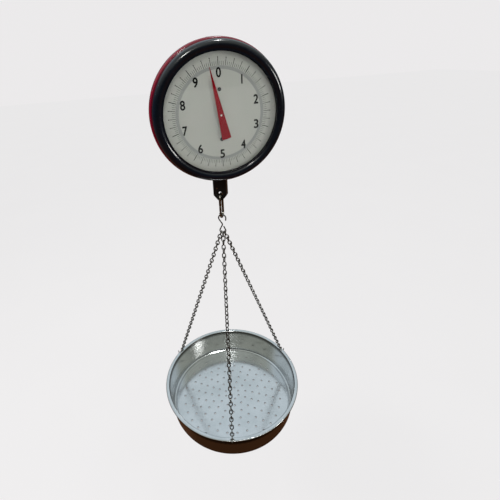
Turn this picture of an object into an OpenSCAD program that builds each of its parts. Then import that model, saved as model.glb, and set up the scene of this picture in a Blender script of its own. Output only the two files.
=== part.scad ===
// Hanging spring scale with a ten-unit dial, a snap hook, an S-hook and a perforated pan on three chains.
// The origin is the mouth of the suspension thread in the top of the case. +Z is up, the dial faces -Y,
// and the load hangs on the Z axis. Lengths are in millimetres.

/* [Case] */
// Outer radius of the case
case_r = 108.5; // [104:0.5:132]
// Depth of the case from its front lip to its back
case_depth = 50; // [48:1:70]
// Thickness of the case's sheet
case_wall = 1.6; // [1:0.1:2.5]
// Radius of the case's front shoulder
shoulder_r = 4; // [3:0.5:6]
// Radius of the rounded edge of the case's back
back_edge_r = 37; // [20:1:38]
// Radius of the opening in the case's back
service_hole_r = 44; // [30:1:46]
// How far the rear cover laps over that opening
cover_lap = 10; // [8:1:11]
// Thickness of the rear cover
cover_t = 1.2; // [0.8:0.1:2]
// Number of rear cover screws
cover_screw_count = 6; // [4:1:8]

/* [Dial and bezel] */
// Distance from the load axis forward to the dial's face
dial_to_axis = 29; // [28:0.5:34]
// Distance from the dial's face back to the case's front lip
lip_setback = 6; // [4:0.5:8]
// How far the case stands out past the bezel
case_overhang = 3.5; // [2:0.5:6]
// Width of the bezel ring from its window to its outer edge
bezel_w = 16; // [14:0.5:22]
// Radius of the bezel's rounded front
bezel_round_r = 8; // [7:0.5:10]
// Thickness of the bezel's sheet
bezel_wall = 1.8; // [1.2:0.1:2.4]
// How far the bezel's spigot reaches behind the lip
spigot_depth = 4; // [3:0.5:6]
// Thickness of the dial plate
dial_t = 1; // [0.6:0.1:2]
// How far the dial plate reaches past the window
dial_margin = 3; // [2:0.5:4]
// Gap from the dial's face to the lens gasket
gasket_gap = 4.5; // [4.2:0.1:6]
// Thickness of the lens gasket
gasket_t = 1.7; // [1.5:0.1:3]
// Thickness of the lens
lens_t = 2; // [1.5:0.1:3]
// Depth of the lens seat past the window
lens_seat = 2.6; // [2:0.1:3]
// Distance of each dial screw from the dial's centre
dial_screw_r = 37.4; // [20:0.1:60]

/* [Pointer] */
// Length of the pointer from the shaft to its tip
pointer_len = 70; // [50:1:80]
// Length of the pointer's tail
tail_len = 38; // [25:1:45]
// Angle across the pointer's tail
tail_angle = 23; // [15:1:35]
// Thickness of the pointer
pointer_t = 0.8; // [0.5:0.1:1.2]
// Distance from the dial's face to the back of the pointer
pointer_gap = 3.4; // [1:0.1:3.6]
// Where the pointer stands at rest, clockwise from the zero mark
pointer_rest = -11.5; // [-20:0.5:20]
// Radius of the pointer shaft
shaft_r = 1.5; // [1.2:0.1:2]

/* [Movement] */
// Module of the rack and pinion teeth
tooth_module = 0.7; // [0.6:0.05:0.8]
// Number of pinion teeth
pinion_teeth = 12; // [12:1:14]
// Width of the pinion
pinion_w = 6; // [4:0.5:8]
// Thickness of the rack, front to back
rack_t = 4; // [3:0.5:5]
// Distance from the load axis to each frame plate
plate_gap = 11.5; // [11:0.5:12.5]
// Thickness of the frame plates
plate_t = 2.5; // [2:0.1:3]
// Half the width of the frame plates
plate_half_w = 50; // [49:0.5:54]
// Distance of each pillar from the dial's axis
pillar_circle_r = 62; // [60:0.5:64]
// Radius of the pillars
pillar_r = 3.5; // [3:0.1:4]
// Distance from the load axis to each spring
spring_x = 30; // [28:0.5:31]
// Mean radius of the spring coils
coil_r = 5.8; // [5:0.1:6.2]
// Radius of the spring wire
spring_wire_r = 0.7; // [0.5:0.1:0.9]
// Number of coils in each spring
coil_count = 28; // [16:1:30]
// Pitch of the coils with the empty pan on
coil_pitch = 2.6; // [2:0.1:2.9]
// Thickness of the spring carrier and the crosshead, front to back
yoke_t = 6; // [5:0.5:7]
// Distance from the dial's axis down to the crosshead
crosshead_drop = 44; // [42:1:50]
// Eccentricity of the zero screw's pin
zero_throw = 2.5; // [1:0.1:2.8]
// Travel of the load down from rest
travel_down = 27.3; // [20:0.1:28]
// Travel of the load up from rest
travel_up = 1.2; // [0.5:0.1:1.4]

/* [Suspension and draw bar] */
// Height of the suspension boss above the case
boss_rise = 0.2; // [0.2:0.1:4]
// Radius of the suspension boss
boss_r = 10; // [10:0.5:14]
// Wall radius of the suspension thread
thread_r = 4; // [3:0.5:5]
// Depth of the suspension thread
thread_depth = 14; // [10:1:18]
// Radius of the draw bar
bar_r = 5; // [4:0.1:5.5]

/* [Swivel block] */
// Width of the swivel block
block_w = 24; // [20:0.5:27]
// Thickness of the swivel block
block_t = 12; // [11.5:0.5:15]
// Height of the swivel block
block_h = 40.5; // [40:0.5:50]
// Gap from the case's bottom to the block
block_gap = 3; // [3:0.5:6]
// Turn of the block on its swivel at rest
block_turn = -28; // [-60:1:60]
// Radius of the block's eye
eye_r = 4.5; // [4:0.1:5]
// Flare at each end of the block's eye
eye_flare = 2.5; // [2:0.1:3]
// Height of the eye above the block's bottom
eye_rise = 11.2; // [11:0.1:13]

/* [Hooks] */
// Radius of the snap hook's wire
snap_wire_r = 2.2; // [2:0.1:2.3]
// Length of the snap hook over its wire
snap_len = 50; // [45:0.5:60]
// Room between the swivel block's faces and the snap hook
bow_room = 0.8; // [0.6:0.1:3]
// Radius of the S-hook's wire
s_wire_r = 1.2; // [1:0.1:1.4]
// Mean radius of the S-hook's upper bow
s_top_r = 6.9; // [6:0.1:8]
// Mean radius of the S-hook's lower bow
s_low_r = 5.6; // [5.5:0.1:6.5]
// Distance between the centres of the S-hook's bows
s_span = 26; // [24:0.5:32]

/* [Chains] */
// Number of links in each chain
link_count = 25; // [10:1:40]
// Pitch of the links
link_pitch = 16.3; // [15:0.05:20]
// Radius of the links' wire
link_wire_r = 1.05; // [0.8:0.05:1.1]
// Mean radius of the links' loops
loop_r = 3.2; // [3.1:0.1:3.6]
// Direction of the front chain, from +X
front_azimuth = -105; // [-120:1:-90]
// Radius of the rim hooks' wire
rim_wire_r = 1.1; // [0.9:0.1:1.2]
// Mean radius of the rim hooks' eyes
rim_eye_r = 3.7; // [3.5:0.1:4.5]
// Length of the rim hooks' shanks
rim_shank = 8; // [6:0.5:14]

/* [Pan] */
// Outer radius of the pan's rim
pan_r = 156.3; // [120:0.5:190]
// Depth of the pan from its rim to its underside
pan_depth = 65; // [50:1:80]
// Thickness of the pan's sheet
pan_wall = 1.2; // [0.8:0.1:2]
// Width of the pan's rim, with its bead
pan_rim_w = 8.2; // [8.2:0.1:12]
// Radius of the bead around the rim
bead_r = 1.5; // [1.2:0.1:1.6]
// Taper of the pan's wall
wall_taper = 4.7; // [2:0.1:10]
// Spacing of the rings of drain holes
drain_pitch = 16.7; // [14:0.1:22]
// Radius of the drain holes
drain_r = 1.4; // [1:0.1:2]
// Direction of the first drain hole, from +X
drain_azimuth = 55; // [0:1:90]

/* [Hidden] */
$fn = 48;

// Clearances: a running fit, a fastener in its hole, and the gap at a loose seat.
run_gap = 0.06;
hole_gap = 0.2;
seat_gap = 0.3;
// A cutter reaches this far past the face that it opens.
over = 1;
// A straight run of wire reaches this far into a bend, and is thinner by this share of the reach.
splice = 0.3;
splice_thin = 0.07;

// Levels along Z.
dial_z = -(case_r + boss_rise);
case_bottom_z = dial_z - case_r;
crosshead_z = dial_z - crosshead_drop;
block_head = 14;
block_foot_z = -34;
carrier_z = -44;
carrier_h = 8;

// Places along Y, front to back.
dial_y = -dial_to_axis;
lip_y = dial_y + lip_setback;
back_y = lip_y + case_depth;
back_start_y = back_y - back_edge_r;
gasket_y = dial_y - gasket_gap;
lens_y = gasket_y - gasket_t;
glass_y = lens_y - lens_t;

// Radii about the dial's axis.
bezel_r = case_r - case_overhang;
window_r = bezel_r - bezel_w;
dial_r = window_r + dial_margin;
lip_r = bezel_r - 4;
back_flat_r = case_r - back_edge_r;
cover_r = service_hole_r + cover_lap;
cover_screw_r = 1.5;

// Rack and pinion.
pitch_r = tooth_module * pinion_teeth / 2;
tooth_pitch = tooth_module * 180 * PI / 180;
pressure_angle = 25;
addendum = 0.85 * tooth_module;
dedendum = 1.2 * tooth_module;
backlash = 0.2;
rack_back = 5;

// Screws.
screw_r = 2;
screw_head_r = 3.5;
screw_head_h = 2;

// Dashpot.
dashpot_x = -9;
dashpot_r = 8;
dashpot_bore_r = 6.5;
dashpot_low_z = dial_z + 10;
dashpot_h = 48;
piston_h = 5;
piston_rod_r = 1.5;

// Swivel.
block_top_z = case_bottom_z - block_gap;
block_bottom_z = block_top_z - block_h;
eye_z = block_bottom_z + eye_rise;
swivel_pin_r = 1.2;
groove_r = bar_r - swivel_pin_r + run_gap;
groove_half_h = swivel_pin_r + seat_gap;
bar_end_z = block_top_z - 21.5;
swivel_pin_z = bar_end_z + 3.5;
swivel_pin_x = groove_r + swivel_pin_r + run_gap;

// Snap hook: the upper bow rides in the eye, just clear of the lower edges of its flares.
snap_bow_r = block_t / 2 + snap_wire_r + bow_room;
bow_clear_r = snap_bow_r - snap_wire_r - seat_gap;
face_rise = eye_r + eye_flare + sqrt(pow(bow_clear_r, 2) - pow(block_t / 2, 2));
throat_rise = eye_r + sqrt(pow(bow_clear_r, 2) - pow(block_t / 2 - eye_flare, 2));
snap_upper_z = eye_z - min(face_rise, throat_rise);
snap_top_z = snap_upper_z + snap_bow_r;
snap_bottom_z = snap_top_z + 2 * snap_wire_r - snap_len;
snap_lower_z = snap_bottom_z + snap_bow_r;
gate_pivot_z = snap_lower_z + 1.5;
gate_top_z = gate_pivot_z + 12.6;
nose_gap = 1.5;
gate_r = 2;
gate_pin_r = 1;
tongue_t = 1.9;

// S-hook, drawn in its own plane with its upper bow hanging on the snap hook's lower bow.
s_top_z = snap_bottom_z + snap_wire_r + s_wire_r + seat_gap - s_top_r;
s_low_z = s_top_z - s_span;
s_upper_slope = 57;
s_lower_slope = 63;
s_waist_r = 3.5;
s_upper_end = s_top_r * [-sin(s_upper_slope), -cos(s_upper_slope)];
s_lower_start = [0, -s_span] + s_low_r * [-sin(s_lower_slope), cos(s_lower_slope)];
s_upper_dir = [cos(s_upper_slope), -sin(s_upper_slope)];
s_lower_dir = [-cos(s_lower_slope), -sin(s_lower_slope)];
s_gap = s_lower_start - s_upper_end;
s_waist_turn = 180 - s_upper_slope - s_lower_slope;
s_waist_cut = s_waist_r * tan(s_waist_turn / 2);
s_upper_run = cross2(s_gap, s_lower_dir) / cross2(s_upper_dir, s_lower_dir) - s_waist_cut;
s_lower_run = cross2(s_upper_dir, s_gap) / cross2(s_upper_dir, s_lower_dir) - s_waist_cut;

// Chains: three equal legs from the S-hook's lower bow to the pan's bead.
bead_centre_r = pan_r - bead_r;
bead_drop = 1.3;
rim_bend_r = bead_r + rim_wire_r + 0.7;
rim_hook_len = 2 * rim_eye_r + rim_shank;
leg_len = link_count * link_pitch + rim_hook_len;
bead_slack = rim_bend_r - rim_wire_r - bead_r - seat_gap;
leg_reach = norm([leg_len + bead_slack, rim_bend_r]);
leg_tilt = asin(bead_centre_r / leg_reach) - atan(rim_bend_r / (leg_len + bead_slack));
saddle_r = s_low_r - s_wire_r - link_wire_r - seat_gap;
saddle_angle = 2 * asin((link_wire_r + seat_gap / 2) / saddle_r) + 1;
shank_end_r = bead_centre_r - bead_slack * sin(leg_tilt) - rim_bend_r * cos(leg_tilt);
shank_end_z = s_low_z - saddle_r - leg_len * cos(leg_tilt);
bead_z = shank_end_z - bead_slack * cos(leg_tilt) + rim_bend_r * sin(leg_tilt);
rim_z = bead_z + bead_drop;
hook_hole_r = rim_wire_r + 0.8;
hook_place_r = shank_end_r - (rim_z - pan_wall / 2 - shank_end_z) * tan(leg_tilt);
loop_len = (link_pitch + 2 * link_wire_r + seat_gap) / 2;
azimuths = [front_azimuth, front_azimuth + 120, front_azimuth + 240];
saddles = [0, saddle_angle, -saddle_angle];
// The right-hand hook's eye lies in the radial plane, and the other two lie across it.
eye_turns = [90, 0, 90];

// Pan.
wall_top_r = pan_r - pan_rim_w;
floor_z = rim_z - pan_depth;
wall_foot_r = wall_top_r - wall_taper;
panel_r = wall_foot_r - 8.5;
panel_rise = 2;
drain_rings = floor((panel_r - 10) / drain_pitch);

function cross2(a, b) = a[0] * b[1] - a[1] * b[0];
function unit(v) = v / norm(v);
function polar(r, a) = [r * cos(a), r * sin(a)];
// A point or direction given in the swivel block's frame, in the scale's frame.
function turned(p) = [p[0] * cos(block_turn) - p[1] * sin(block_turn),
    p[0] * sin(block_turn) + p[1] * cos(block_turn), p[2]];

// ---------------------------------------------------------------- shared shapes

// Children drawn about Z are put on the dial's axis, with their +Z pointing to the back.
module on_dial_axis() {
    translate([0, 0, dial_z]) rotate([-90, 0, 0]) children();
}

// Children are put at a place on the dial: x to the right and h above the centre.
module on_dial_at(x, h) {
    on_dial_axis() translate([x, -h, 0]) children();
}

module ring(r_in, r_out, z0, z1) {
    difference() {
        translate([0, 0, z0]) cylinder(r = r_out, h = z1 - z0);
        translate([0, 0, z0 - over]) cylinder(r = r_in, h = z1 - z0 + 2 * over);
    }
}

module box(x0, x1, y0, y1, z0, z1) {
    translate([x0, y0, z0]) cube([x1 - x0, y1 - y0, z1 - z0]);
}

// A pan-head screw along Z: its head's underside is at z = 0, and its shank goes down.
module screw(r, head_r, head_h, length) {
    difference() {
        cylinder(r = head_r, h = head_h);
        box(-head_r - over, head_r + over, -0.4, 0.4, head_h * 0.6, head_h + over);
    }
    translate([0, 0, -length]) cylinder(r = r, h = length);
}

// A round wire that starts at the origin along +Z. Each step is [length], or [radius, angle]: the wire
// then bends towards +X for a positive angle and towards -X for a negative one. Straight runs are a
// hair thinner than the bends and reach a little way into them, unless the reach is 0.
module bent_wire(wire_r, steps, reach = splice, index = 0) {
    if (index < len(steps)) {
        step = steps[index];
        if (len(step) == 1) {
            before = index > 0 ? reach : 0;
            after = index < len(steps) - 1 ? reach : 0;
            translate([0, 0, -before])
                cylinder(r = wire_r - splice_thin * reach, h = step[0] + before + after);
            translate([0, 0, step[0]]) bent_wire(wire_r, steps, reach, index + 1);
        } else {
            side = step[1] < 0 ? 180 : 0;
            bend = abs(step[1]);
            rotate([0, 0, side]) translate([step[0], 0, 0]) {
                rotate([90, 0, 180]) rotate_extrude(angle = bend)
                    translate([step[0], 0]) circle(r = wire_r);
                rotate([0, bend, 0]) translate([-step[0], 0, 0]) rotate([0, 0, -side])
                    bent_wire(wire_r, steps, reach, index + 1);
            }
        }
    }
}

// ---------------------------------------------------------------- case and dial

// Half-section of the drum, drawn inside its outline by the inset.
module drum_section(inset) {
    band_y = lip_y + shoulder_r;
    translate([0, band_y]) square([case_r - inset, back_start_y - band_y]);
    translate([0, lip_y + inset]) square([case_r - shoulder_r, shoulder_r - inset]);
    intersection() {
        translate([case_r - shoulder_r, band_y]) circle(r = shoulder_r - inset);
        translate([0, lip_y]) square([case_r, shoulder_r]);
    }
    translate([0, back_start_y]) square([back_flat_r, back_edge_r - inset]);
    intersection() {
        translate([back_flat_r, back_start_y]) circle(r = back_edge_r - inset);
        translate([0, back_start_y]) square([case_r, back_edge_r]);
    }
}

module case_shell() {
    color([0.48, 0.05, 0.12]) difference() {
        on_dial_axis() difference() {
            rotate_extrude() drum_section(0);
            rotate_extrude() drum_section(case_wall);
            translate([0, 0, lip_y - over]) cylinder(r = lip_r, h = case_wall + 2 * over);
            translate([0, 0, back_y - case_wall - over])
                cylinder(r = service_hole_r, h = case_wall + 2 * over);
        }
        translate([0, 0, dial_z]) cylinder(r = boss_r + hole_gap, h = case_r + boss_rise);
        translate([0, 0, case_bottom_z - over]) cylinder(r = bush_r + hole_gap, h = case_r);
        on_dial_axis() translate([0, 0, back_y - case_wall - over]) {
            at_pillars() cylinder(r = screw_r + hole_gap, h = case_wall + 2 * over);
            at_cover_screws() cylinder(r = cover_screw_r + hole_gap, h = case_wall + 2 * over);
        }
        translate([-zero_throw, back_y - case_wall - over, carrier_z]) rotate([-90, 0, 0])
            cylinder(r = zero_stem_r + hole_gap, h = case_wall + 2 * over);
    }
}

module at_pillars() {
    for (a = [45:90:315]) rotate([0, 0, a]) translate([pillar_circle_r, 0, 0]) children();
}

module at_cover_screws() {
    for (i = [0:cover_screw_count - 1])
        rotate([0, 0, i * 360 / cover_screw_count]) translate([service_hole_r + cover_lap / 2, 0, 0])
            children();
}

module rear_cover() {
    color([0.48, 0.05, 0.12]) on_dial_axis() difference() {
        translate([0, 0, back_y]) cylinder(r = cover_r, h = cover_t);
        translate([0, 0, back_y - over]) at_cover_screws()
            cylinder(r = cover_screw_r + hole_gap, h = cover_t + 2 * over);
    }
}

module cover_screws() {
    color("silver") on_dial_axis() translate([0, 0, back_y + cover_t]) at_cover_screws()
        screw(cover_screw_r, cover_screw_r + 1.3, 1.4, cover_t + case_wall + 3);
}

// Half-section of the bezel: a rolled front, a skirt, a seat for the lens and a spigot in the lip.
module bezel_section() {
    round_x = window_r + bezel_round_r;
    round_y = lens_y + 3.2;
    lip_t = 1.2;
    difference() {
        union() {
            translate([round_x, round_y]) circle(r = bezel_round_r);
            translate([round_x, round_y - bezel_round_r])
                square([bezel_r - round_x - bezel_round_r + 0.01, bezel_wall]);
            translate([bezel_r - bezel_wall, round_y]) square([bezel_wall, lip_y - round_y]);
        }
        translate([round_x, round_y]) circle(r = bezel_round_r - bezel_wall);
        translate([window_r - over, lens_y - lens_t])
            square([lens_seat + over, lip_y - lens_y]);
        translate([window_r - over, round_y])
            square([bezel_r - bezel_wall - window_r + over, lip_y - round_y]);
    }
    translate([window_r + 0.6, glass_y - lip_t]) square([4.4, lip_t]);
    translate([window_r + lens_seat, glass_y - lip_t])
        square([bezel_wall, gasket_y - glass_y + lip_t]);
    translate([lip_r - 1.6, lip_y - lip_t]) square([bezel_r - lip_r + 1.6, lip_t]);
    translate([lip_r - 1.6, lip_y - lip_t]) square([1.6 - hole_gap, lip_t + spigot_depth]);
}

module front_bezel() {
    color([0.05, 0.06, 0.09]) on_dial_axis() rotate_extrude() bezel_section();
}

module lens() {
    color([0.85, 0.9, 0.9, 0.3]) on_dial_axis() translate([0, 0, glass_y])
        cylinder(r = window_r + lens_seat - run_gap, h = lens_t);
}

module lens_gasket() {
    color([0.1, 0.1, 0.1]) on_dial_axis()
        ring(window_r, window_r + lens_seat - run_gap, lens_y, gasket_y);
}

module dial_plate() {
    color([0.82, 0.83, 0.78]) on_dial_axis() difference() {
        translate([0, 0, dial_y]) cylinder(r = dial_r, h = dial_t);
        translate([0, 0, dial_y - over]) {
            cylinder(r = 2 * shaft_r, h = dial_t + 2 * over);
            for (s = [-1, 1]) translate([0, s * dial_screw_r, 0])
                cylinder(r = cover_screw_r + hole_gap, h = dial_t + 2 * over);
        }
    }
}

module dial_posts() {
    color([0.8, 0.68, 0.35]) for (s = [-1, 1]) on_dial_at(0, s * dial_screw_r)
        ring(cover_screw_r + run_gap, 3.5, dial_y + dial_t, -plate_gap - plate_t);
}

module dial_screws() {
    color("dimgray") for (s = [-1, 1]) on_dial_at(0, s * dial_screw_r)
        translate([0, 0, dial_y]) rotate([180, 0, 0]) screw(cover_screw_r, 2.8, 1, dial_t + 8);
}

// ---------------------------------------------------------------- pointer and its gearing

module pointer() {
    hub_r = 3;
    front_y = dial_y - pointer_gap - pointer_t;
    arc_points = [for (i = [-4:4]) polar(tail_len, -90 + i * tail_angle / 8)];
    color([0.62, 0.03, 0.1]) on_dial_axis() rotate([0, 0, pointer_rest]) difference() {
        translate([0, 0, front_y]) rotate([180, 0, 0]) translate([0, 0, -pointer_t])
            linear_extrude(pointer_t) union() {
                polygon(concat([[0.25, pointer_len], [-0.25, pointer_len]], arc_points));
                circle(r = hub_r);
            }
        translate([0, 0, front_y - over]) cylinder(r = shaft_r + run_gap / 3, h = pointer_t + 2 * over);
    }
}

module pointer_shaft() {
    front_y = dial_y - pointer_gap - pointer_t - 0.6;
    rear_y = plate_gap + plate_t + 1.5;
    color("silver") on_dial_axis() {
        translate([0, 0, front_y]) cylinder(r = shaft_r, h = rear_y - front_y);
        translate([0, 0, dial_y - pointer_gap + seat_gap / 3]) cylinder(r = 2.4, h = 1.6);
        translate([0, 0, -plate_gap + 1.6]) cylinder(r = 2.6, h = 1.5);
        translate([0, 0, plate_gap - 3.1]) cylinder(r = 2.6, h = 1.5);
    }
}

function involute(base_r, a) = base_r * [cos(a) + a * PI / 180 * sin(a), sin(a) - a * PI / 180 * cos(a)];
function roll_to(base_r, r) = r <= base_r ? 0 : sqrt(pow(r / base_r, 2) - 1) * 180 / PI;
function spun(p, a) = [p[0] * cos(a) - p[1] * sin(a), p[0] * sin(a) + p[1] * cos(a)];
function mirrored(p) = [p[0], -p[1]];

// One side of a tooth whose middle lies along +X, from the root circle to the tip.
function tooth_flank() =
    let (base_r = pitch_r * cos(pressure_angle))
    let (half_width = 90 / pinion_teeth - backlash / 2 / pitch_r * 90 / PI)
    let (pitch_point = involute(base_r, roll_to(base_r, pitch_r)))
    let (lean = -half_width - atan2(pitch_point[1], pitch_point[0]))
    let (tip_r = pitch_r + addendum)
    let (foot = spun(polar(pitch_r - dedendum, 0), lean))
    concat([foot], [for (i = [0:5])
        spun(involute(base_r, roll_to(base_r, base_r + (tip_r - base_r) * i / 5)), lean)]);

module pinion() {
    flank = tooth_flank();
    tooth = concat(flank, [for (i = [len(flank) - 1:-1:0]) mirrored(flank[i])]);
    color([0.8, 0.68, 0.35]) on_dial_axis() translate([0, 0, -pinion_w / 2]) difference() {
        linear_extrude(pinion_w) union() {
            circle(r = pitch_r - dedendum + 0.05);
            for (i = [0:pinion_teeth - 1]) rotate(i * 360 / pinion_teeth) polygon(tooth);
        }
        translate([0, 0, -over]) cylinder(r = shaft_r + run_gap / 3, h = pinion_w + 2 * over);
    }
}

module bush(seat_r, flange_r) {
    difference() {
        union() {
            cylinder(r = seat_r, h = plate_t + 1);
            translate([0, 0, plate_t]) cylinder(r = flange_r, h = 1.2);
        }
        translate([0, 0, -over]) cylinder(r = shaft_r + run_gap, h = plate_t + 4);
    }
}

module shaft_bushes() {
    color([0.8, 0.68, 0.35]) on_dial_axis() {
        translate([0, 0, -plate_gap - plate_t]) bush(4, 5.5);
        translate([0, 0, plate_gap + plate_t]) rotate([180, 0, 0]) bush(4, 5.5);
    }
}

// ---------------------------------------------------------------- frame

// Outline of a frame plate, in x and height above the dial's axis.
module plate_outline() {
    neck = 20;
    top = -18 - dial_z;
    shoulder = -52 - dial_z;
    foot = -72;
    polygon([[-neck, top], [neck, top], [plate_half_w, shoulder], [plate_half_w, -50], [neck, foot],
        [-neck, foot], [-plate_half_w, -50], [-plate_half_w, shoulder]]);
}

module frame_plate(face_y) {
    difference() {
        on_dial_axis() difference() {
            translate([0, 0, face_y]) linear_extrude(plate_t) mirror([0, 1]) plate_outline();
            translate([0, 0, face_y - over]) {
                cylinder(r = 4 + run_gap / 3, h = plate_t + 2 * over);
                at_pillars() cylinder(r = screw_r + hole_gap, h = plate_t + 2 * over);
            }
        }
        for (x = [-block_screw_x, block_screw_x])
            translate([x, face_y - over, block_screw_z]) rotate([-90, 0, 0])
                cylinder(r = screw_r + hole_gap, h = plate_t + 2 * over);
    }
}

block_screw_x = 14;
block_screw_z = -26;

module front_plate() {
    color([0.72, 0.72, 0.74]) difference() {
        frame_plate(-plate_gap - plate_t);
        for (s = [-1, 1]) on_dial_at(0, s * dial_screw_r) translate([0, 0, -plate_gap - plate_t - over])
            cylinder(r = cover_screw_r + run_gap, h = plate_t + 2 * over);
    }
}

module rear_plate() {
    color([0.72, 0.72, 0.74]) difference() {
        frame_plate(plate_gap);
        translate([-zero_throw, plate_gap - over, carrier_z]) rotate([-90, 0, 0])
            cylinder(r = zero_journal_r + run_gap, h = plate_t + 2 * over);
        for (h = dashpot_screw_rises) on_dial_at(dashpot_x, h) translate([0, 0, plate_gap - over])
            cylinder(r = screw_r + hole_gap, h = plate_t + 2 * over);
    }
}

module frame_pillars() {
    color([0.8, 0.8, 0.82]) on_dial_axis() at_pillars()
        ring(screw_r + run_gap, pillar_r, -plate_gap, plate_gap);
}

module case_standoffs() {
    color([0.8, 0.8, 0.82]) on_dial_axis() at_pillars()
        ring(screw_r + run_gap, pillar_r, plate_gap + plate_t, back_y - case_wall);
}

// Screws that hold the two plates to the pillars and the suspension block, and the dashpot.
module frame_screws() {
    depth = plate_t + 6;
    front_y = -plate_gap - plate_t;
    color("silver") {
        on_dial_axis() translate([0, 0, front_y]) at_pillars() rotate([180, 0, 0])
            screw(screw_r, screw_head_r, screw_head_h, depth);
        for (x = [-block_screw_x, block_screw_x]) {
            translate([x, front_y, block_screw_z]) rotate([90, 0, 0])
                screw(screw_r, screw_head_r, screw_head_h, depth);
            translate([x, -front_y, block_screw_z]) rotate([-90, 0, 0])
                screw(screw_r, screw_head_r, screw_head_h, depth);
        }
        for (h = dashpot_screw_rises) on_dial_at(dashpot_x, h) translate([0, 0, -front_y])
            screw(screw_r, screw_head_r, screw_head_h, plate_t + 2.4);
    }
}

module case_screws() {
    color("silver") on_dial_axis() translate([0, 0, back_y]) at_pillars()
        screw(screw_r, screw_head_r, screw_head_h, back_y - plate_gap + 6);
}

module suspension_block() {
    half_w = 19;
    color([0.3, 0.3, 0.32]) difference() {
        union() {
            box(-half_w, half_w, -plate_gap, plate_gap, block_foot_z, -block_head);
            translate([0, 0, -block_head - over]) cylinder(r = boss_r, h = block_head + over);
        }
        translate([0, 0, -thread_depth]) cylinder(r = thread_r, h = thread_depth + over);
        for (x = [-block_screw_x, block_screw_x], s = [-90, 90])
            translate([x, 0, block_screw_z]) rotate([s, 0, 0]) translate([0, 0, plate_gap - 7])
                cylinder(r = screw_r + run_gap, h = 7 + over);
        for (x = guide_places) translate([x, 0, block_foot_z - over])
            cylinder(r = guide_r + run_gap / 3, h = guide_seat + over);
    }
}

guide_places = [-9, 9];
guide_r = 2;
guide_seat = 5;

module carrier_guides() {
    color("silver") for (x = guide_places)
        translate([x, 0, carrier_z - carrier_h / 2 - 2])
            cylinder(r = guide_r, h = block_foot_z + guide_seat - carrier_z + carrier_h / 2 + 2);
}

// ---------------------------------------------------------------- springs, yokes and zero screw

spring_hole_r = 2.5;
zero_pin_r = 2;
zero_journal_r = 5;
zero_stem_r = 4;
// Lift of a spring's hook that leaves it the seat gap above the edges of its hole.
hook_slope = asin(yoke_t / 2 / coil_r);
eye_lift = coil_r - sqrt(pow(coil_r, 2) - pow(yoke_t / 2, 2)) + (spring_wire_r + seat_gap)
    / cos(hook_slope) - spring_hole_r;

// A flat bar with a hole near each end for the springs' eyes.
module yoke(z, hole_z) {
    half_len = spring_x + 6;
    difference() {
        box(-half_len, half_len, -yoke_t / 2, yoke_t / 2, z - carrier_h / 2, z + carrier_h / 2);
        for (x = [-spring_x, spring_x]) translate([x, yoke_t / 2 + over, hole_z]) rotate([90, 0, 0])
            cylinder(r = spring_hole_r, h = yoke_t + 2 * over);
    }
}

module spring_carrier() {
    slot_half_w = zero_pin_r + zero_throw / 2;
    slot_half_h = zero_pin_r + 0.1;
    color([0.6, 0.6, 0.62]) difference() {
        yoke(carrier_z, carrier_z);
        box(-slot_half_w, slot_half_w, -yoke_t, yoke_t, carrier_z - slot_half_h,
            carrier_z + slot_half_h);
        for (x = guide_places) translate([x, 0, carrier_z - carrier_h])
            cylinder(r = guide_r + run_gap, h = 2 * carrier_h);
    }
}

// The zero screw's pin sits off its axis and lifts the carrier as the screw turns.
module zero_screw() {
    color([0.8, 0.68, 0.35]) {
        translate([0, 1 - yoke_t / 2, carrier_z]) rotate([-90, 0, 0])
            cylinder(r = zero_pin_r, h = plate_gap + yoke_t / 2);
        translate([-zero_throw, 0, carrier_z]) rotate([-90, 0, 0]) {
            translate([0, 0, plate_gap - 1.2]) cylinder(r = zero_journal_r, h = plate_t + 1.5);
            translate([0, 0, plate_gap + plate_t + seat_gap]) cylinder(r = zero_journal_r + 1.5, h = 2);
            difference() {
                translate([0, 0, plate_gap]) cylinder(r = zero_stem_r, h = back_y - plate_gap - 0.5);
                box(-zero_stem_r - over, zero_stem_r + over, -0.5, 0.5, back_y - 2, back_y + over);
            }
        }
    }
}

// Path of a spring: [point, outward direction] pairs along a hook, the coils and a second hook.
spring_top_z = carrier_z + eye_lift - coil_r;
spring_low_z = crosshead_z - eye_lift + coil_r;
spring_mid_z = (spring_top_z + spring_low_z) / 2;
coil_half_h = coil_count * coil_pitch / 2;
coil_steps = coil_count * 10;
function hook_path(z, up) = [for (a = [0:20:180])
    [[0, coil_r * cos(a), z + up * coil_r * sin(a)], [0, cos(a), up * sin(a)]]];
function coil_path() = [for (i = [0:coil_steps])
    let (a = 90 - 360 * coil_count * i / coil_steps)
    [[coil_r * cos(a), coil_r * sin(a), spring_mid_z - coil_half_h + 2 * coil_half_h * i / coil_steps],
        [cos(a), sin(a), 0]]];
function reversed(list) = [for (i = [len(list) - 1:-1:0]) list[i]];

// A tube swept along a path of [point, outward direction] pairs, with flat ends.
module swept_tube(path, tube_r, sides) {
    last = len(path) - 1;
    rings = [for (i = [0:last])
        let (ahead = path[min(i + 1, last)][0] - path[max(i - 1, 0)][0])
        let (out = path[i][1])
        let (side = unit(cross(unit(ahead), out)))
        let (flat = unit(cross(side, unit(ahead))))
        [for (k = [0:sides - 1]) path[i][0] + tube_r * (cos(360 * k / sides) * flat
            + sin(360 * k / sides) * side)]];
    polyhedron(points = [for (r = rings) each r],
        faces = concat([[for (k = [0:sides - 1]) k]],
            [for (i = [0:last - 1], k = [0:sides - 1])
                let (a = i * sides + k, b = i * sides + (k + 1) % sides)
                [a, a + sides, b + sides]],
            [for (i = [0:last - 1], k = [0:sides - 1])
                let (a = i * sides + k, b = i * sides + (k + 1) % sides)
                [a, b + sides, b]],
            [[for (k = [sides - 1:-1:0]) last * sides + k]]));
}

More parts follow.
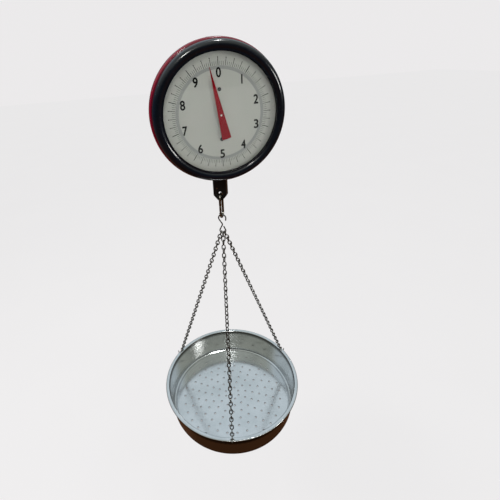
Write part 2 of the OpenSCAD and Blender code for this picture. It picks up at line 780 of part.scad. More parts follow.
module spring(x) {
    path = concat(reversed(hook_path(spring_low_z, -1)), coil_path(), hook_path(spring_top_z, 1));
    color([0.45, 0.46, 0.5]) translate([x, 0, 0]) swept_tube(path, spring_wire_r, 6);
}

module spring_left() {
    spring(-spring_x);
}

module spring_right() {
    spring(spring_x);
}

lug_gap = 0.1;
rack_pin_r = 1;
rack_pin_x = pitch_r + rack_back - 2;
rack_pin_z = crosshead_z + carrier_h / 2 + 5;

module crosshead() {
    hub_r = 8;
    lug_t = 2;
    color([0.6, 0.6, 0.62]) difference() {
        union() {
            yoke(crosshead_z, crosshead_z);
            translate([0, 0, crosshead_z - carrier_h / 2]) cylinder(r = hub_r, h = carrier_h);
            for (s = [-1, 1]) {
                y = s * (rack_t / 2 + lug_gap + lug_t / 2);
                box(rack_pin_x - 2, rack_pin_x + 2, y - lug_t / 2, y + lug_t / 2, crosshead_z,
                    rack_pin_z + 2);
            }
            translate([dashpot_x, 0, crosshead_z - carrier_h / 2]) cylinder(r = 4.5, h = carrier_h);
        }
        translate([0, 0, crosshead_z - carrier_h]) cylinder(r = bar_r + run_gap / 3, h = 2 * carrier_h);
        translate([0, 0, crosshead_z]) cylinder(r = bar_head_r + run_gap, h = carrier_h);
        translate([dashpot_x, 0, crosshead_z]) cylinder(r = piston_rod_r + run_gap / 3, h = carrier_h);
        translate([rack_pin_x, carrier_h, rack_pin_z]) rotate([90, 0, 0])
            cylinder(r = rack_pin_r + run_gap / 3, h = 2 * carrier_h);
    }
}

bar_head_r = 5.6;

// Corners of a rack tooth that points to -X from the pitch line, with its middle at height y.
function rack_tooth(y) =
    let (half = tooth_pitch / 4 - backlash / 4)
    let (tip_half = half - addendum * tan(pressure_angle))
    let (root_half = half + dedendum * tan(pressure_angle))
    [[dedendum, y - root_half], [-addendum, y - tip_half], [-addendum, y + tip_half],
        [dedendum, y + root_half]];

module rack() {
    teeth_up = ceil((travel_down + 4) / tooth_pitch);
    teeth_down = ceil((travel_up + 3) / tooth_pitch);
    top = teeth_up * tooth_pitch;
    low = -teeth_down * tooth_pitch;
    foot = rack_pin_z - 2 - dial_z;
    teeth = [for (i = [-teeth_down:teeth_up - 1]) each rack_tooth((i + 0.5) * tooth_pitch)];
    color([0.8, 0.68, 0.35]) difference() {
        translate([pitch_r, rack_t / 2, dial_z]) rotate([90, 0, 0]) linear_extrude(rack_t)
            polygon(concat([[rack_back - 4, foot], [rack_back - 4, low], [dedendum, low]], teeth,
                [[dedendum, top], [rack_back, top], [rack_back, foot]]));
        translate([rack_pin_x, rack_t, rack_pin_z]) rotate([90, 0, 0])
            cylinder(r = rack_pin_r + run_gap / 3, h = 2 * rack_t);
    }
}

module rack_pin() {
    half_len = rack_t / 2 + 2.6;
    color("silver") translate([rack_pin_x, half_len, rack_pin_z]) rotate([90, 0, 0])
        cylinder(r = rack_pin_r, h = 2 * half_len);
}

// ---------------------------------------------------------------- dashpot

dashpot_screw_rises = [20, 44];

module dashpot_cylinder() {
    lid = 2.5;
    color([0.7, 0.71, 0.73]) difference() {
        union() {
            translate([dashpot_x, 0, dashpot_low_z]) cylinder(r = dashpot_r, h = dashpot_h);
            box(dashpot_x - 5, dashpot_x + 5, 0, plate_gap, dashpot_low_z, dashpot_low_z + dashpot_h);
        }
        translate([dashpot_x, 0, dashpot_low_z - over])
            cylinder(r = dashpot_bore_r, h = dashpot_h - lid + over);
        for (h = dashpot_screw_rises) on_dial_at(dashpot_x, h) translate([0, 0, plate_gap - 2.5])
            cylinder(r = screw_r + run_gap, h = 2.5 + over);
    }
}

module dashpot_gland() {
    color([0.8, 0.68, 0.35]) translate([dashpot_x, 0, dashpot_low_z - 1.5]) difference() {
        union() {
            cylinder(r = dashpot_r, h = 1.5);
            cylinder(r = dashpot_bore_r - run_gap / 3, h = 4);
        }
        translate([0, 0, -over]) cylinder(r = piston_rod_r + run_gap, h = 4 + 2 * over);
    }
}

module dashpot_piston() {
    top_z = dashpot_low_z + dashpot_h - 5.5;
    color([0.75, 0.75, 0.77]) translate([dashpot_x, 0, 0]) {
        translate([0, 0, top_z - piston_h]) cylinder(r = dashpot_bore_r - 0.1, h = piston_h);
        translate([0, 0, crosshead_z]) cylinder(r = piston_rod_r, h = top_z - piston_h - crosshead_z);
    }
}

// ---------------------------------------------------------------- draw bar and swivel

bush_r = bar_r + 2.5;
bush_flange_t = 1.2;
bush_washer_r = bush_r + 3.5;
bush_nut_h = 4;
// The washer's thin side is level with the case's inside at the washer's back edge.
bush_nut_z = dial_z - back_flat_r
    - sqrt(pow(back_edge_r - case_wall, 2) - pow(bush_washer_r - back_start_y, 2)) + 1.5;

module draw_bar() {
    color([0.78, 0.79, 0.8]) difference() {
        union() {
            translate([0, 0, bar_end_z]) cylinder(r = bar_r, h = crosshead_z + 3 - bar_end_z);
            translate([0, 0, crosshead_z]) cylinder(r = bar_head_r, h = 3);
        }
        translate([0, 0, swivel_pin_z - groove_half_h]) ring(groove_r, bar_r + over, 0, 2 * groove_half_h);
    }
}

// The bush's flange and its saddle washer follow the curve of the case's bottom.
module draw_bar_bush() {
    foot_z = case_bottom_z - bush_flange_t;
    color([0.8, 0.68, 0.35]) difference() {
        union() {
            difference() {
                translate([0, 0, foot_z]) cylinder(r = bush_r + 2, h = bush_nut_z - foot_z);
                on_dial_axis() rotate_extrude($fn = 240) drum_section(-2 * run_gap);
            }
            translate([0, 0, foot_z]) cylinder(r = bush_r, h = bush_nut_z + bush_nut_h + 1 - foot_z);
        }
        translate([0, 0, foot_z - over]) cylinder(r = bar_r + run_gap, h = case_r);
    }
}

module saddle_washer() {
    inner_r = back_edge_r - case_wall - 2 * run_gap;
    color([0.8, 0.68, 0.35]) difference() {
        translate([0, 0, case_bottom_z]) cylinder(r = bush_washer_r, h = bush_nut_z - case_bottom_z);
        translate([0, 0, case_bottom_z - over]) cylinder(r = bush_r + run_gap, h = case_r);
        on_dial_axis() rotate_extrude($fn = 240) difference() {
            translate([back_flat_r, back_start_y - inner_r]) square([2 * inner_r, 2 * inner_r]);
            translate([back_flat_r, back_start_y]) circle(r = inner_r);
        }
    }
}

module bush_nut() {
    color("silver") translate([0, 0, bush_nut_z]) difference() {
        cylinder(r = bush_washer_r, h = bush_nut_h, $fn = 6);
        translate([0, 0, -over]) cylinder(r = bush_r + run_gap, h = bush_nut_h + 2 * over);
    }
}

module in_block_frame() {
    rotate([0, 0, block_turn]) children();
}

module swivel_block() {
    chamfer_w = block_w / 3;
    chamfer_h = 9.5;
    half_w = block_w / 2;
    color([0.07, 0.07, 0.08]) in_block_frame() difference() {
        translate([0, block_t / 2, 0]) rotate([90, 0, 0]) linear_extrude(block_t)
            polygon([[-half_w, block_top_z], [-half_w, block_bottom_z + chamfer_h],
                [-half_w + chamfer_w, block_bottom_z], [half_w - chamfer_w, block_bottom_z],
                [half_w, block_bottom_z + chamfer_h], [half_w, block_top_z]]);
        translate([0, 0, bar_end_z - seat_gap])
            cylinder(r = bar_r + run_gap, h = block_top_z - bar_end_z + over);
        translate([0, block_t, eye_z]) rotate([90, 0, 0]) cylinder(r = eye_r, h = 2 * block_t);
        for (side = [0, 180]) translate([0, 0, eye_z]) rotate([90, 0, side])
            translate([0, 0, block_t / 2 - eye_flare])
                cylinder(r1 = eye_r, r2 = eye_r + eye_flare + over, h = eye_flare + over);
        translate([-swivel_pin_x, block_t, swivel_pin_z]) rotate([90, 0, 0])
            cylinder(r = swivel_pin_r + run_gap / 3, h = 2 * block_t);
    }
}

module swivel_pin() {
    color("silver") in_block_frame() translate([-swivel_pin_x, block_t / 2 - 0.5, swivel_pin_z])
        rotate([90, 0, 0]) cylinder(r = swivel_pin_r, h = block_t - 0.5);
}

// ---------------------------------------------------------------- snap hook and S-hook

// The snap hook lies in the plane through the eye, front to back. Its wire starts at the nose, goes
// over the upper bow, down the back, round the lower bow and up to the gate's pivot.
module snap_hook() {
    nose_z = gate_top_z + nose_gap;
    back_run = snap_upper_z - snap_lower_z;
    stub_top_z = gate_pivot_z + 1.2;
    slot_half = tongue_t / 2 + 0.2;
    color([0.75, 0.74, 0.7]) in_block_frame() difference() {
        translate([0, -snap_bow_r, nose_z]) rotate([0, 0, 90]) union() {
            bent_wire(snap_wire_r, [[snap_upper_z - nose_z], [snap_bow_r, 180], [back_run],
                [snap_bow_r, 180], [stub_top_z - snap_lower_z]]);
        }
        box(-slot_half, slot_half, -snap_bow_r - 3, -snap_bow_r + 3, gate_pivot_z - gate_r - 0.5,
            stub_top_z + over);
        translate([-5, -snap_bow_r, gate_pivot_z]) rotate([0, 90, 0])
            cylinder(r = gate_pin_r + run_gap / 3, h = 10);
    }
}

module snap_gate() {
    color([0.75, 0.74, 0.7]) in_block_frame() translate([0, -snap_bow_r, 0]) difference() {
        union() {
            translate([0, 0, gate_pivot_z + 3.5]) cylinder(r = gate_r, h = gate_top_z - gate_pivot_z - 3.5);
            box(-tongue_t / 2, tongue_t / 2, -gate_r, gate_r, gate_pivot_z, gate_pivot_z + 4);
            translate([-tongue_t / 2, 0, gate_pivot_z]) rotate([0, 90, 0])
                cylinder(r = gate_r, h = tongue_t);
        }
        translate([-5, 0, gate_pivot_z]) rotate([0, 90, 0])
            cylinder(r = gate_pin_r + run_gap, h = 10);
    }
}

module gate_pin() {
    half_len = snap_wire_r + 0.3;
    color("silver") in_block_frame() translate([-half_len, -snap_bow_r, gate_pivot_z])
        rotate([0, 90, 0]) cylinder(r = gate_pin_r, h = 2 * half_len);
}

s_open_angle = 8;
s_tip_run = 4;
s_close_angle = 25;
s_close_run = 7;

module s_hook() {
    upper_turn = 180 + s_open_angle + 90 - s_upper_slope;
    lower_turn = 180 + s_lower_slope + s_close_angle - 90 + 54;
    start = s_top_r * [cos(s_open_angle), -sin(s_open_angle)];
    heading = [-sin(s_open_angle), -cos(s_open_angle)];
    tip = start + s_tip_run * heading;
    color([0.55, 0.55, 0.54]) in_block_frame() translate([tip[0], 0, s_top_z + tip[1]])
        rotate([0, s_open_angle, 0]) rotate([0, 0, 180])
            bent_wire(s_wire_r, [[s_tip_run], [s_top_r, upper_turn], [s_upper_run],
                [s_waist_r, -s_waist_turn], [s_lower_run], [s_low_r, lower_turn], [s_close_run]]);
}

// ---------------------------------------------------------------- chains, rim hooks and pan

// Children are put in a frame whose +Z runs along a direction and whose +X lies closest to a side.
module along(origin, dir, side) {
    z = unit(dir);
    y = unit(cross(z, side));
    x = cross(y, z);
    multmatrix([[x[0], y[0], z[0], origin[0]], [x[1], y[1], z[1], origin[1]],
        [x[2], y[2], z[2], origin[2]], [0, 0, 0, 1]]) children();
}

// A closed loop of wire in the XZ plane, from z = 0 to its length, measured at the wire's middle.
module wire_loop(wire_r, bend_r, length) {
    run = length - 2 * bend_r;
    translate([-bend_r, 0, bend_r])
        bent_wire(wire_r, [[run], [bend_r, 180], [run], [bend_r, 180]], 0);
}

// A jack-chain link: two loops at right angles, one below the other.
module chain_link(twist) {
    rotate([0, 0, twist]) {
        wire_loop(link_wire_r, loop_r, loop_len);
        translate([0, 0, loop_len]) rotate([0, 0, 90]) wire_loop(link_wire_r, loop_r, loop_len);
    }
}

function leg_dir(k) = [sin(leg_tilt) * cos(azimuths[k]), sin(leg_tilt) * sin(azimuths[k]),
    -cos(leg_tilt)];
// Middle of a chain's first wire: on the S-hook's wire, halfway between the bow's middle and
// the side away from the pull.
function chain_top(k) =
    let (inward = turned([-sin(saddles[k]), 0, cos(saddles[k])]))
    turned([0, 0, s_low_z]) - s_low_r * inward
        + (s_wire_r + link_wire_r + seat_gap) * unit(inward - leg_dir(k));
function chain_foot(k) =
    let (r = shank_end_r - rim_hook_len * sin(leg_tilt))
    [r * cos(azimuths[k]), r * sin(azimuths[k]), shank_end_z + rim_hook_len * cos(leg_tilt)];

// Turn of the last link, so that its lower loop lies across the rim hook's eye.
function foot_twist(k) =
    let (d = unit(chain_foot(k) - chain_top(k)))
    let (y = unit(cross(d, saddle_side(k))))
    let (x = cross(y, d))
    let (eye = eye_axis(k))
    let (a = atan2(eye * y, eye * x))
    a > 90 ? a - 180 : (a < -90 ? a + 180 : a);
function saddle_side(k) =
    let (d = unit(chain_foot(k) - chain_top(k)))
    cross(d, turned([cos(saddles[k]), 0, sin(saddles[k])]));
function eye_axis(k) = [cos(azimuths[k] + eye_turns[k]), sin(azimuths[k] + eye_turns[k]), 0];

module chain(k) {
    top = chain_top(k);
    foot = chain_foot(k);
    step = (foot - top) / link_count;
    twist = foot_twist(k);
    color([0.5, 0.5, 0.49]) for (i = [0:link_count - 1])
        along(top + i * step, step, saddle_side(k)) chain_link(twist * i / (link_count - 1));
}

module chain_front() {
    chain(0);
}

module chain_right() {
    chain(1);
}

module chain_left() {
    chain(2);
}

// A hook with an eye for the chain: its shank goes down through the rim, bends out under the bead and
// comes up outside it.
module rim_hook(eye_turn) {
    translate([0, 0, rim_eye_r]) rotate([90, 0, eye_turn])
        rotate_extrude() translate([rim_eye_r, 0]) circle(r = rim_wire_r);
    translate([0, 0, 2 * rim_eye_r])
        bent_wire(rim_wire_r, [[rim_shank], [rim_bend_r, 150], [4.5]]);
}

module rim_hooks() {
    color([0.5, 0.5, 0.49]) for (k = [0:2]) {
        out = [cos(azimuths[k]), sin(azimuths[k]), 0];
        dir = sin(leg_tilt) * out - [0, 0, cos(leg_tilt)];
        along(chain_foot(k), dir, out) rim_hook(eye_turns[k]);
    }
}

// Half-section of the pan, in radius and height.
module pan_section() {
    corner = 3.5;
    t = pan_wall;
    panel_z = floor_z + t + panel_rise;
    polygon([[0, panel_z - t], [panel_r - t / 2, panel_z - t], [panel_r + panel_rise - t / 2, floor_z],
        [wall_foot_r - corner + t / 2, floor_z], [wall_foot_r - corner / 3 + t, floor_z + corner / 3],
        [wall_foot_r + t, floor_z + corner + t], [wall_top_r + t, rim_z - 2 * t],
        [wall_top_r + 2 * t, rim_z - t], [bead_centre_r, rim_z - t], [bead_centre_r, rim_z],
        [wall_top_r + t, rim_z], [wall_top_r, rim_z - t], [wall_foot_r, floor_z + corner + t],
        [wall_foot_r - corner / 3, floor_z + corner / 3 + t],
        [wall_foot_r - corner, floor_z + t], [panel_r + panel_rise + t / 2, floor_z + t],
        [panel_r + t / 2, panel_z], [0, panel_z]]);
    translate([bead_centre_r, bead_z]) circle(r = bead_r);
}

module pan() {
    color([0.75, 0.77, 0.79]) difference() {
        rotate_extrude() pan_section();
        for (ring = [1:drain_rings], i = [0:4 * ring + 3])
            rotate([0, 0, drain_azimuth + i * 90 / (ring + 1)]) translate([ring * drain_pitch, 0, floor_z])
                cylinder(r = drain_r, h = 2 * panel_rise + 2 * over);
        for (a = azimuths) rotate([0, 0, a]) translate([hook_place_r, 0, rim_z - pan_wall - over / 2])
            cylinder(r = hook_hole_r, h = pan_wall + 2 * over);
    }
}

// ---------------------------------------------------------------- nodes

case_shell();
rear_cover();
cover_screws();
front_bezel();
lens();
lens_gasket();
dial_plate();
dial_posts();
dial_screws();
pointer();
pointer_shaft();
pinion();
shaft_bushes();
front_plate();
rear_plate();
frame_pillars();
frame_screws();
case_standoffs();
case_screws();
suspension_block();
carrier_guides();
spring_carrier();
zero_screw();
spring_left();
spring_right();
crosshead();
rack();
rack_pin();
dashpot_cylinder();
dashpot_gland();
dashpot_piston();
draw_bar();
draw_bar_bush();
saddle_washer();
bush_nut();
swivel_block();
swivel_pin();
snap_hook();
snap_gate();
gate_pin();
s_hook();
chain_front();
chain_right();
chain_left();
rim_hooks();
pan();
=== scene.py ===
"""Looks of a hanging spring scale: enamelled case and bezel, glazed dial, hooks, chains and a spun pan.

Lengths are metres in the row frame: +Z is up, the dial faces -Y and the load hangs on the Z axis.
"""
import logging
import math
from dataclasses import dataclass
from enum import Enum
from typing import Optional, Sequence

import bpy
import numpy as np
from mathutils import Matrix, Vector


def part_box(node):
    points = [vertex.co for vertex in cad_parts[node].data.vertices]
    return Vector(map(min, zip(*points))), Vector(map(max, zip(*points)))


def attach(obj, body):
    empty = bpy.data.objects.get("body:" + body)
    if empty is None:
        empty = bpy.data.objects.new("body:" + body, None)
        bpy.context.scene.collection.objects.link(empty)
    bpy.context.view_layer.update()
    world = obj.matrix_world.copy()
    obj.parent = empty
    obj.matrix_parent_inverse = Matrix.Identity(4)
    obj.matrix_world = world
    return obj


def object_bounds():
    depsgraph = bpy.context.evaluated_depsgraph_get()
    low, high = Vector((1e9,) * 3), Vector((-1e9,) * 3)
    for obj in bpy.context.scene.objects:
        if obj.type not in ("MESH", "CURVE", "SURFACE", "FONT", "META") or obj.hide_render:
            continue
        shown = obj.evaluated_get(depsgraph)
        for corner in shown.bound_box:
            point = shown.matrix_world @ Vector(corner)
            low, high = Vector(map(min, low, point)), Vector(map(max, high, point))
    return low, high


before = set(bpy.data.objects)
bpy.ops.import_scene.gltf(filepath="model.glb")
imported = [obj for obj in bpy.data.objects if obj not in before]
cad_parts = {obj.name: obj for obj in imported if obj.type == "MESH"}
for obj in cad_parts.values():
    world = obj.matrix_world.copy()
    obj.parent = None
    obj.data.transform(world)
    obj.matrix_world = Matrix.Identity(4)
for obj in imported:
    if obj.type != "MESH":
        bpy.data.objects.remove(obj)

LOG = logging.getLogger("hanging_scale")
CAD_BOX = [list(corner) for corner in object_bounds()]
FULL_TURN = 2 * math.pi
WHITE = (1.0, 1.0, 1.0)

# how strong a ring of painted shade is in the middle, and the share of its width that stays so
RING_DARK, RING_CORE = 0.85, 0.3

# sockets of a Mix node that is set to colours, which share their names with its other kinds
MIX_FACTOR, MIX_UNDER, MIX_OVER, MIX_RESULT = 0, 6, 7, 2

# colours of the surroundings from straight down, at 0, to straight up, at 1
ROOM_COLOURS = [(0.0, (0.040, 0.017, 0.008)), (0.15, (0.10, 0.042, 0.020)), (0.36, (0.07, 0.035, 0.020)),
                (0.47, (0.020, 0.018, 0.018)), (0.60, (0.030, 0.034, 0.040)), (0.70, (0.20, 0.21, 0.20)),
                (0.80, (0.50, 0.56, 0.58)), (1.0, (0.66, 0.76, 0.83))]

Colour = tuple[float, float, float]
Place = tuple[float, float, float]


# ------------------------------------------------------------------ surfaces


def new_mesh(name: str, points: np.ndarray, faces: np.ndarray) -> bpy.types.Mesh:
    """Makes a flat-shaded mesh from whole arrays.

    Args:
        name: the mesh's name.
        points: n by 3 array of places, in metres.
        faces: m by 3 or m by 4 array of point numbers.

    Returns:
        The new mesh.
    """
    mesh = bpy.data.meshes.new(name)
    sides = faces.shape[1]
    mesh.vertices.add(len(points))
    mesh.vertices.foreach_set("co", np.ascontiguousarray(points, np.float32).ravel())
    mesh.loops.add(faces.size)
    mesh.loops.foreach_set("vertex_index", np.ascontiguousarray(faces, np.int32).ravel())
    mesh.polygons.add(len(faces))
    mesh.polygons.foreach_set("loop_start", np.arange(0, faces.size, sides, dtype=np.int32))
    mesh.polygons.foreach_set("use_smooth", np.full(len(faces), False))
    mesh.update(calc_edges=True)
    mesh.validate()
    return mesh


# ------------------------------------------------------------------ node trees


class Shader:
    """One material's node tree, with short calls for the nodes that the finishes share."""

    def __init__(self, name: str) -> None:
        """Starts a material with a Principled BSDF.

        Args:
            name: the material's name.
        """
        self.material = bpy.data.materials.new(name)
        self.material.use_nodes = True
        self.tree = self.material.node_tree
        self.tree.nodes.clear()
        self.output = self.tree.nodes.new("ShaderNodeOutputMaterial")
        self.surface = self.tree.nodes.new("ShaderNodeBsdfPrincipled")
        self.tree.links.new(self.surface.outputs["BSDF"], self.output.inputs["Surface"])
        self.place = self.tree.nodes.new("ShaderNodeTexCoord").outputs["Object"]

    def put(self, **values: object) -> None:
        """Sets the shader's own sockets, named with underscores for spaces."""
        for key, value in values.items():
            self.surface.inputs[key.replace("_", " ")].default_value = value

    def link(self, source: bpy.types.NodeSocket, socket: str) -> None:
        """Links a socket to one of the shader's inputs."""
        self.tree.links.new(source, self.surface.inputs[socket])

    def noise(self, scale: float, detail: float = 3.0, roughness: float = 0.55,
              vector: Optional[bpy.types.NodeSocket] = None) -> bpy.types.NodeSocket:
        """Noise from 0 to 1.

        Args:
            scale: grains per metre.
            detail: number of finer layers.
            roughness: share of each finer layer.
            vector: where it is read; the object's coordinates if left out.

        Returns:
            The noise's value.
        """
        node = self.tree.nodes.new("ShaderNodeTexNoise")
        node.inputs["Scale"].default_value = scale
        node.inputs["Detail"].default_value = detail
        node.inputs["Roughness"].default_value = roughness
        self.tree.links.new(vector or self.place, node.inputs["Vector"])
        return node.outputs["Fac"]

    def ramp(self, value: bpy.types.NodeSocket,
             stops: Sequence[tuple[float, Sequence[float]]]) -> bpy.types.NodeSocket:
        """A colour for each value.

        Args:
            value: the value, from 0 to 1.
            stops: pairs of a value and its colour; colours blend in a straight line between them.

        Returns:
            The colour.
        """
        node = self.tree.nodes.new("ShaderNodeValToRGB")
        set_stops(node, stops)
        self.tree.links.new(value, node.inputs["Fac"])
        return node.outputs["Color"]

    def spread(self, value: bpy.types.NodeSocket, low: float, high: float, start: float = 0.3,
               end: float = 0.7) -> bpy.types.NodeSocket:
        """Maps a value in a straight line, held at both ends.

        Args:
            value: the value.
            low: what it becomes at the start.
            high: what it becomes at the end.
            start: the value where the line starts.
            end: the value where the line ends.

        Returns:
            The mapped value.
        """
        node = self.tree.nodes.new("ShaderNodeMapRange")
        for key, number in (("From Min", start), ("From Max", end), ("To Min", low), ("To Max", high)):
            node.inputs[key].default_value = number
        self.tree.links.new(value, node.inputs["Value"])
        return node.outputs["Result"]

    def math(self, operation: str, *values: object) -> bpy.types.NodeSocket:
        """One Math node.

        Args:
            operation: the node's operation.
            *values: its inputs in order, each a number or a socket.

        Returns:
            The result.
        """
        node = self.tree.nodes.new("ShaderNodeMath")
        node.operation = operation
        for socket, value in zip(node.inputs, values):
            if isinstance(value, bpy.types.NodeSocket):
                self.tree.links.new(value, socket)
            else:
                socket.default_value = value
        return node.outputs["Value"]

    def ring_band(self, radius: bpy.types.NodeSocket, middle: float, width: float) -> bpy.types.NodeSocket:
        """A soft ring of painted shade, strongest near the middle radius and falling to 0 at the width to
        either side of it.

        Args:
            radius: distance from the ring's axis.
            middle: the ring's radius.
            width: how far the band reaches to either side.

        Returns:
            The band's strength.
        """
        apart = self.math("ABSOLUTE", self.math("SUBTRACT", radius, middle))
        return self.spread(apart, RING_DARK, 0.0, width * RING_CORE, width)

    def over(self, factor: bpy.types.NodeSocket, under: bpy.types.NodeSocket,
             colour: Colour) -> bpy.types.NodeSocket:
        """Lays a plain colour over another.

        Args:
            factor: 0 shows the colour underneath and 1 the plain one.
            under: the colour underneath.
            colour: the plain colour.

        Returns:
            The mixed colour.
        """
        node = self.tree.nodes.new("ShaderNodeMix")
        node.data_type = "RGBA"
        self.tree.links.new(factor, node.inputs[MIX_FACTOR])
        self.tree.links.new(under, node.inputs[MIX_UNDER])
        node.inputs[MIX_OVER].default_value = (*colour, 1.0)
        return node.outputs[MIX_RESULT]

    def bump(self, height: bpy.types.NodeSocket, distance: float) -> None:
        """Raises the surface by a height from 0 to 1 times a distance.

        Args:
            height: the height.
            distance: what a height of 1 stands for, in metres.
        """
        node = self.tree.nodes.new("ShaderNodeBump")
        node.inputs["Distance"].default_value = distance
        node.inputs["Strength"].default_value = 1.0
        self.tree.links.new(height, node.inputs["Height"])
        self.tree.links.new(node.outputs["Normal"], self.surface.inputs["Normal"])

    def axis(self, name: str) -> bpy.types.NodeSocket:
        """One of the object's coordinates.

        Args:
            name: X, Y or Z.

        Returns:
            The coordinate in metres.
        """
        node = self.tree.nodes.new("ShaderNodeSeparateXYZ")
        self.tree.links.new(self.place, node.inputs["Vector"])
        return node.outputs[name]

    def distance_from(self, first: str, second: str) -> bpy.types.NodeSocket:
        """Distance from an axis: the square root of the sum of two squared coordinates.

        Args:
            first: one coordinate.
            second: the other coordinate.

        Returns:
            The distance in metres.
        """
        squares = [self.math("POWER", self.axis(name), 2.0) for name in (first, second)]
        return self.math("SQRT", self.math("ADD", *squares))


def set_stops(node: bpy.types.ShaderNode, stops: Sequence[tuple[float, Sequence[float]]]) -> None:
    """Gives a colour ramp its stops.

    Args:
        node: the ramp's node.
        stops: pairs of a place from 0 to 1 and a colour.
    """
    elements = node.color_ramp.elements
    while len(elements) < len(stops):
        elements.new(0.5)
    for element, (at, colour) in zip(elements, stops):
        element.position, element.color = at, (*colour, 1.0)


# ------------------------------------------------------------------ finishes


@dataclass(frozen=True)
class Enamel:
    """Stoved enamel on sheet or on a small part: colour, gloss coat, orange peel and faint mottling."""

    name: str
    colour: Colour
    shade: Colour
    roughness: float = 0.22
    coat: float = 1.0
    coat_roughness: float = 0.04
    peel: float = 0.00002
    mottle: float = 40.0
    specular: float = 0.5
    cloud_scale: float = 260.0
    peel_scale: float = 420.0

    def material(self) -> bpy.types.Material:
        """Builds the finish.

        Returns:
            The new material.
        """
        shader = Shader(self.name)
        shader.put(Coat_Weight=self.coat, Coat_Roughness=self.coat_roughness, Metallic=0.0,
                   Specular_IOR_Level=self.specular)
        patches = shader.noise(self.mottle, 4)
        shader.link(shader.ramp(patches, [(0.3, self.shade), (0.7, self.colour)]), "Base Color")
        clouds = shader.noise(self.cloud_scale, 2)
        shader.link(shader.spread(clouds, self.roughness * 0.8, self.roughness * 1.25), "Roughness")
        shader.bump(shader.noise(self.peel_scale, 2, 0.4), self.peel)
        return shader.material


@dataclass(frozen=True)
class WireMetal:
    """Drawn or plated steel: mottled zinc or nickel with dull patches and fine die lines."""

    name: str
    bright: Colour
    dull: Colour
    roughness: float = 0.3
    patch: float = 160.0
    grain: float = 0.00003
    die_scale: float = 1800.0

    def material(self) -> bpy.types.Material:
        """Builds the finish.

        Returns:
            The new material.
        """
        shader = Shader(self.name)
        shader.put(Metallic=1.0)
        patches = shader.noise(self.patch, 5, 0.6)
        shader.link(shader.ramp(patches, [(0.32, self.dull), (0.62, self.bright)]), "Base Color")
        shader.link(shader.spread(patches, self.roughness * 1.5, self.roughness * 0.8), "Roughness")
        shader.bump(shader.noise(self.die_scale, 3, 0.6), self.grain)
        return shader.material


